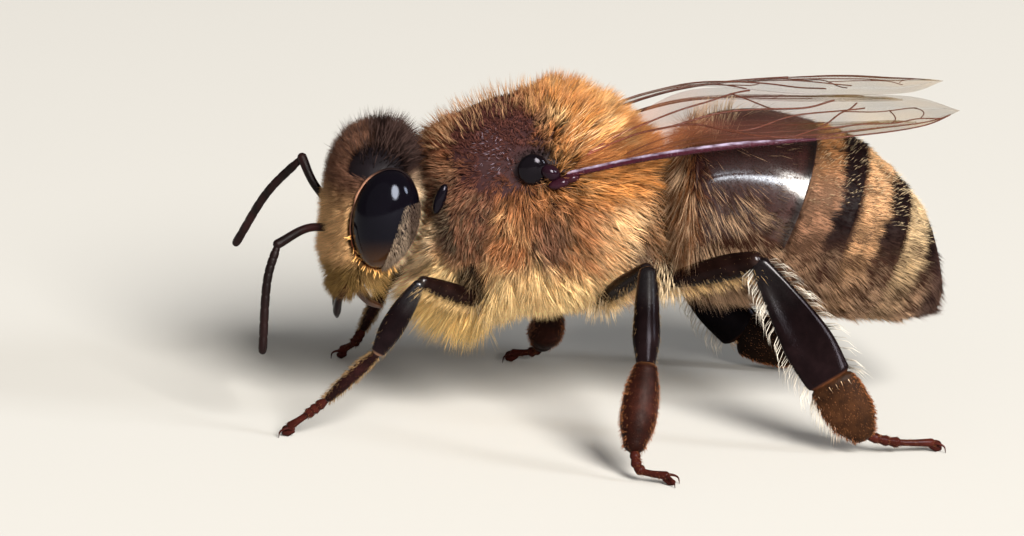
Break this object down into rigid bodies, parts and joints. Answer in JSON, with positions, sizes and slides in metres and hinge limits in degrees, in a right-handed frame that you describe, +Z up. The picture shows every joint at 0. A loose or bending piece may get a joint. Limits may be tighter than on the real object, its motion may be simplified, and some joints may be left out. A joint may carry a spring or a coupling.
{
  "type": "honey bee figure",
  "caption": "Still life-size worker honey bee with furry head and thorax, banded abdomen, folded wings, bent feelers and standing legs.",
  "frame": {"origin": "middle of the footprint box, on the floor that the feet stand on", "axes": "+Z up, -X towards the head, -Y towards the bee's left side"},
  "size_m": [0.0154, 0.0104, 0.0075],
  "materials": {
    "coat": "matt tan hair",
    "head_coat": "matt dark brown hair",
    "shell": "glossy black-brown shell",
    "band": "satin brown shell with pale hair bands",
    "eye": "glossy black",
    "leg": "glossy dark brown shell",
    "wing": "clear smoky brown membrane"
  },
  "bodies": {
    "root": {"head": "head_coat", "left_eye": "eye", "left_scape": "leg", "left_flagellum": "leg", "left_mandible": "shell", "right_eye": "eye", "right_scape": "leg", "right_flagellum": "leg", "right_mandible": "shell", "proboscis": "shell", "neck": "coat", "thorax": "coat", "left_tegula": "shell", "right_tegula": "shell", "propodeum": "coat", "petiole": "shell", "abdomen_segment_1": "shell", "abdomen_segment_2": "shell", "abdomen_segment_3": "band", "abdomen_segment_4": "band", "abdomen_segment_5": "band", "abdomen_segment_6": "shell", "left_forewing": "wing", "left_hindwing": "wing", "right_forewing": "wing", "right_hindwing": "wing", "left_front_coxa": "leg", "left_front_femur": "leg", "left_front_tibia": "leg", "left_front_basitarsus": "leg", "left_front_tarsus": "leg", "left_middle_coxa": "leg", "left_middle_femur": "leg", "left_middle_tibia": "leg", "left_middle_basitarsus": "leg", "left_middle_tarsus": "leg", "left_hind_coxa": "leg", "left_hind_femur": "leg", "left_hind_tibia": "leg", "left_hind_basitarsus": "leg", "left_hind_tarsus": "leg", "right_front_coxa": "leg", "right_front_femur": "leg", "right_front_tibia": "leg", "right_front_basitarsus": "leg", "right_front_tarsus": "leg", "right_middle_coxa": "leg", "right_middle_femur": "leg", "right_middle_tibia": "leg", "right_middle_basitarsus": "leg", "right_middle_tarsus": "leg", "right_hind_coxa": "leg", "right_hind_femur": "leg", "right_hind_tibia": "leg", "right_hind_basitarsus": "leg", "right_hind_tarsus": "leg"}
  },
  "joints": []
}
